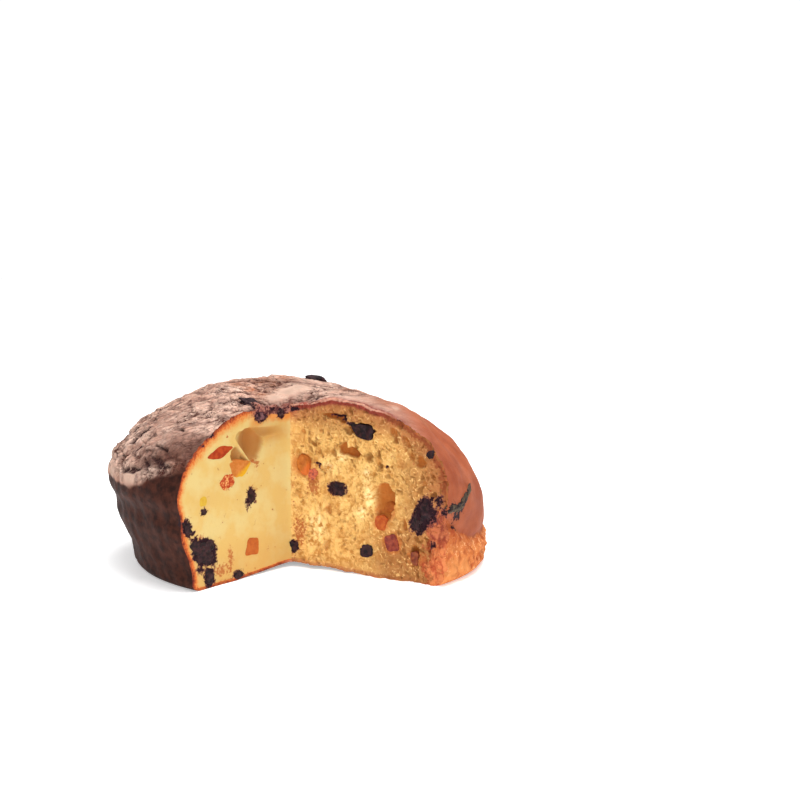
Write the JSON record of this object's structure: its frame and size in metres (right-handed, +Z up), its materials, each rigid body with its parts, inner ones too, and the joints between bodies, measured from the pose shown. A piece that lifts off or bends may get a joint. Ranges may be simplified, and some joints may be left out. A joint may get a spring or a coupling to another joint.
{
  "type": "panettone with a wedge cut out",
  "caption": "Low domed sweet festive loaf with pear and chocolate, baked crust, and a wide wedge cut out that shows its yellow crumb, chocolate lumps and candied fruit.",
  "frame": {"origin": "middle of the loaf's box, on the surface that it stands on", "axes": "+Z up; the cut wedge opens towards -Y, with the smooth knife face on the -X side of the opening and the torn face on the +X side"},
  "size_m": [0.2056, 0.1716, 0.0976],
  "materials": {
    "baked_dough": "matt baked crust outside, and pale to golden yellow open crumb in the cut faces",
    "dark_chocolate": "dark chocolate, partly melted, with a soft gloss",
    "candied_fruit": "moist translucent orange to red candied fruit",
    "pale_candied_fruit": "moist translucent yellow candied fruit"
  },
  "bodies": {
    "root": {"loaf": "baked_dough", "fruit_long_strip": "candied_fruit", "fruit_in_hollow": "pale_candied_fruit", "fruit_crumbled": "candied_fruit", "fruit_yellow": "pale_candied_fruit", "fruit_cube": "candied_fruit", "fruit_oval": "candied_fruit", "fruit_red": "candied_fruit", "fruit_below_hole": "pale_candied_fruit", "fruit_small_orange": "candied_fruit", "fruit_jelly": "candied_fruit", "fruit_brown": "candied_fruit", "chocolate_heart": "dark_chocolate", "chocolate_fleck": "dark_chocolate", "chocolate_left_corner": "dark_chocolate", "chocolate_left_rim": "dark_chocolate", "chocolate_left_foot": "dark_chocolate", "chocolate_at_foot": "dark_chocolate", "chocolate_at_crest": "dark_chocolate", "chocolate_at_corner_top": "dark_chocolate", "chocolate_in_corner": "dark_chocolate", "chocolate_middle": "dark_chocolate", "chocolate_under_crust": "dark_chocolate", "chocolate_low": "dark_chocolate", "chocolate_melted_right": "dark_chocolate", "chocolate_at_rim": "dark_chocolate", "chocolate_crown_chip": "dark_chocolate", "chocolate_crest_front": "dark_chocolate", "chocolate_back_chip": "dark_chocolate", "chocolate_back_chip_low": "dark_chocolate", "chocolate_left_back": "dark_chocolate", "chocolate_right_back": "dark_chocolate", "chocolate_streak": "dark_chocolate"}
  },
  "joints": []
}
